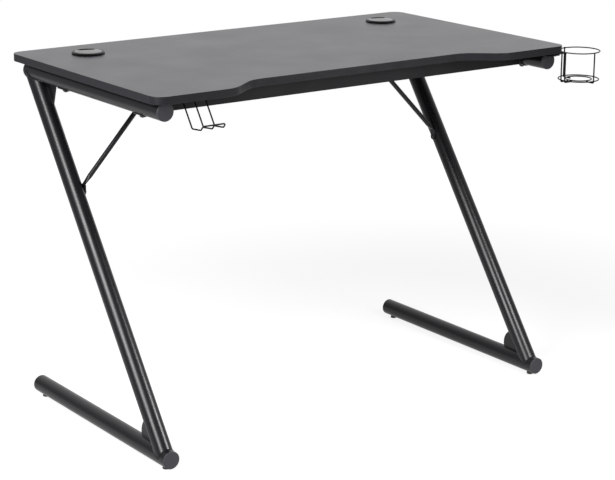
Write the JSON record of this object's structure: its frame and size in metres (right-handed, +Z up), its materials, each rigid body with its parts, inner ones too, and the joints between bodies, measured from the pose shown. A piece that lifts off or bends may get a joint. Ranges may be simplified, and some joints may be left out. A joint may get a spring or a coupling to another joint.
{
  "type": "gaming desk",
  "caption": "Gaming desk with a bay-fronted dark top on Z-shaped tube side frames, with cross rails, braces, cable grommets, a wire cup holder and a headset hook.",
  "frame": {"origin": "on the floor, under the middle of the whole outline with the cup holder", "axes": "+X to the right of the seated user, +Y to the rear, +Z up"},
  "size_m": [1.0906, 0.6064, 0.7355],
  "materials": {
    "laminate": "satin dark grey laminate with a fine grain",
    "edging": "satin black edging strip",
    "grommet_plastic": "moulded black plastic",
    "cap_plastic": "moulded black plastic, fine texture",
    "glide_plastic": "hard black plastic",
    "powder_coat": "satin black powder coat",
    "coated_wire": "black coated wire",
    "black_steel": "blackened steel screws",
    "zinc_steel": "zinc plated nuts"
  },
  "bodies": {
    "desk": {"brace_left": "powder_coat", "brace_nuts": "zinc_steel", "brace_right": "powder_coat", "brace_screws": "black_steel", "cup_base_ring": "coated_wire", "cup_bottom_ring": "coated_wire", "cup_mount_wire": "coated_wire", "cup_plate": "coated_wire", "cup_screws": "black_steel", "cup_top_ring": "coated_wire", "cup_upright_front": "coated_wire", "cup_upright_rear": "coated_wire", "desktop_board": "laminate", "desktop_screws": "black_steel", "edge_band": "edging", "foot_cap_front_left": "cap_plastic", "foot_cap_front_right": "cap_plastic", "foot_cap_rear_left": "cap_plastic", "foot_cap_rear_right": "cap_plastic", "foot_tube_left": "powder_coat", "foot_tube_right": "powder_coat", "front_rail": "powder_coat", "glide_nuts": "zinc_steel", "grommet_sleeve_left": "grommet_plastic", "grommet_sleeve_right": "grommet_plastic", "hook_middle_wire": "coated_wire", "hook_outer_wire": "coated_wire", "hook_plate": "coated_wire", "hook_screws": "black_steel", "leg_tube_left": "powder_coat", "leg_tube_right": "powder_coat", "lower_gusset_left": "powder_coat", "lower_gusset_right": "powder_coat", "rail_bolts": "black_steel", "rail_nuts": "zinc_steel", "rear_rail": "powder_coat", "saddle_front_left": "powder_coat", "saddle_front_right": "powder_coat", "saddle_rear_left": "powder_coat", "saddle_rear_right": "powder_coat", "top_cap_front_left": "cap_plastic", "top_cap_front_right": "cap_plastic", "top_cap_rear_left": "cap_plastic", "top_cap_rear_right": "cap_plastic", "top_tube_left": "powder_coat", "top_tube_right": "powder_coat", "upper_gusset_left": "powder_coat", "upper_gusset_right": "powder_coat"},
    "grommet_cap_left": {"grommet_cap_left": "grommet_plastic"},
    "grommet_cap_right": {"grommet_cap_right": "grommet_plastic"},
    "glide_front_left": {"glide_front_left": "glide_plastic"},
    "glide_front_right": {"glide_front_right": "glide_plastic"},
    "glide_rear_left": {"glide_rear_left": "glide_plastic"},
    "glide_rear_right": {"glide_rear_right": "glide_plastic"}
  },
  "joints": [
    {"name": "grommet_cap_left_turn", "type": "hinge", "parent": "desk", "child": "grommet_cap_left", "pos_m": [-0.41933, 0.20367, 0.73], "axis": [0, 0, 1], "continuous": true},
    {"name": "grommet_cap_right_turn", "type": "hinge", "parent": "desk", "child": "grommet_cap_right", "pos_m": [0.32867, 0.20367, 0.73], "axis": [0, 0, 1], "continuous": true},
    {"name": "glide_front_left_level", "type": "slide", "parent": "desk", "child": "glide_front_left", "axis": [0, 0, -1], "range_m": [0, 0.006]},
    {"name": "glide_front_right_level", "type": "slide", "parent": "desk", "child": "glide_front_right", "axis": [0, 0, -1], "range_m": [0, 0.006]},
    {"name": "glide_rear_left_level", "type": "slide", "parent": "desk", "child": "glide_rear_left", "axis": [0, 0, -1], "range_m": [0, 0.006]},
    {"name": "glide_rear_right_level", "type": "slide", "parent": "desk", "child": "glide_rear_right", "axis": [0, 0, -1], "range_m": [0, 0.006]}
  ]
}
